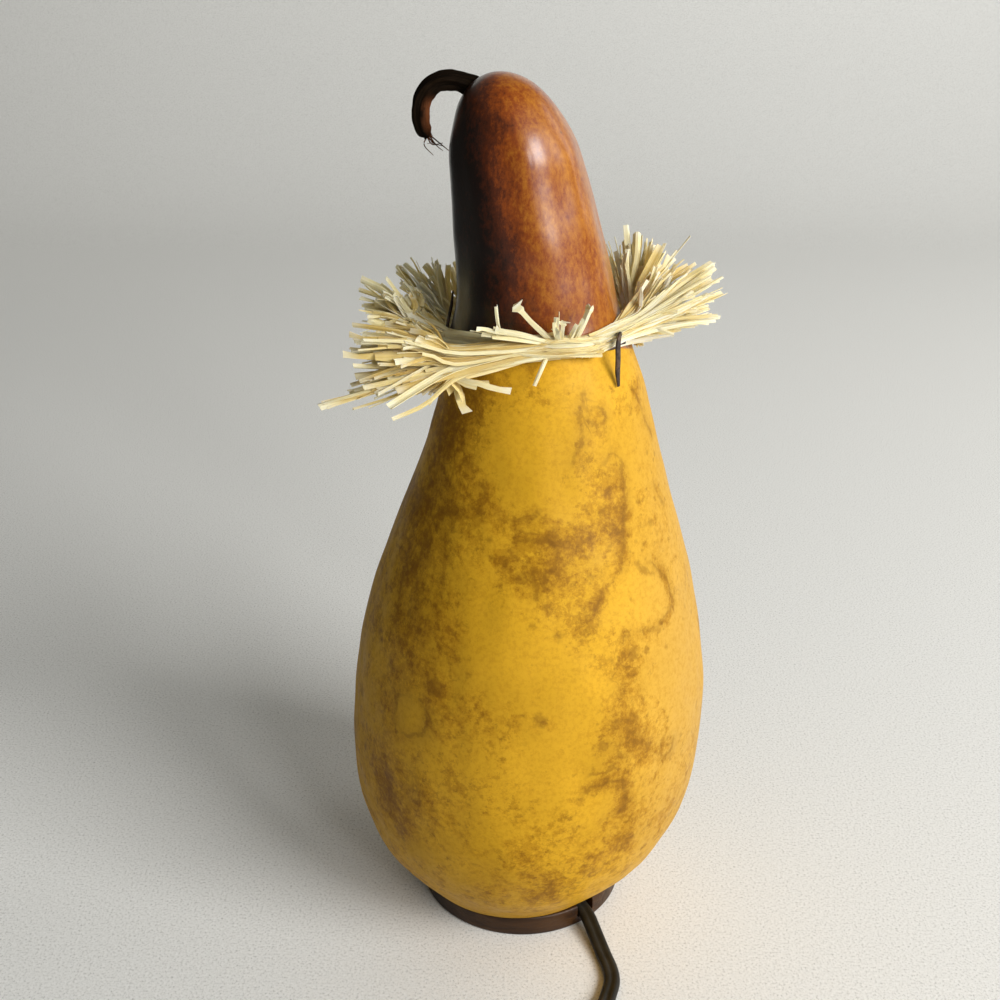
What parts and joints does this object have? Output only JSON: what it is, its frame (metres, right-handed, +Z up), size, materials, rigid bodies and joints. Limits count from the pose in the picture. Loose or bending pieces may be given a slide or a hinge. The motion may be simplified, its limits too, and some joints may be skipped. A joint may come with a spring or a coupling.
{
  "type": "dried bottle gourd lamp",
  "caption": "Dried bottle gourd on a round wooden foot, made up as a small lamp: stained neck, hooked stem, a ruff of straw tied at its waist, and a flat cord.",
  "frame": {"origin": "centre of the wooden foot's flat underside, on the surface that the gourd stands on", "axes": "+Z up the gourd to its crown; the cord leaves the foot towards -Y and +X; the stem hooks over towards -X"},
  "size_m": [0.1446, 0.2415, 0.2952],
  "materials": {
    "gourd_skin": "satin dried rind, golden below the waist and stained glossy red-brown on the neck",
    "dry_stem": "matt, ribbed and fibrous",
    "raffia": "dry split palm leaf, low sheen",
    "thong": "dull dark brown",
    "stained_wood": "stained and waxed, satin",
    "porcelain": "glazed",
    "screw_steel": "plated",
    "brass": "plain",
    "bulb_glass": "clear to frosted",
    "cord_brown": "flexible sheath with a groove between its two cores",
    "tie_black": "woven strap"
  },
  "bodies": {
    "root": {"gourd_shell": "gourd_skin", "gourd_stem": "dry_stem", "raffia_ruff": "raffia", "leather_thong": "thong", "wood_foot": "stained_wood", "lamp_holder": "porcelain", "holder_screw_1": "screw_steel", "holder_screw_2": "screw_steel", "bulb_cap": "brass", "bulb_glass": "bulb_glass", "wire_1": "cord_brown", "wire_2": "cord_brown", "cord_lead": "cord_brown", "cord_coil": "cord_brown", "cord_tie": "tie_black", "cord_tail": "cord_brown", "plug_body": "cord_brown", "plug_blade_1": "brass", "plug_blade_2": "brass"}
  },
  "joints": []
}
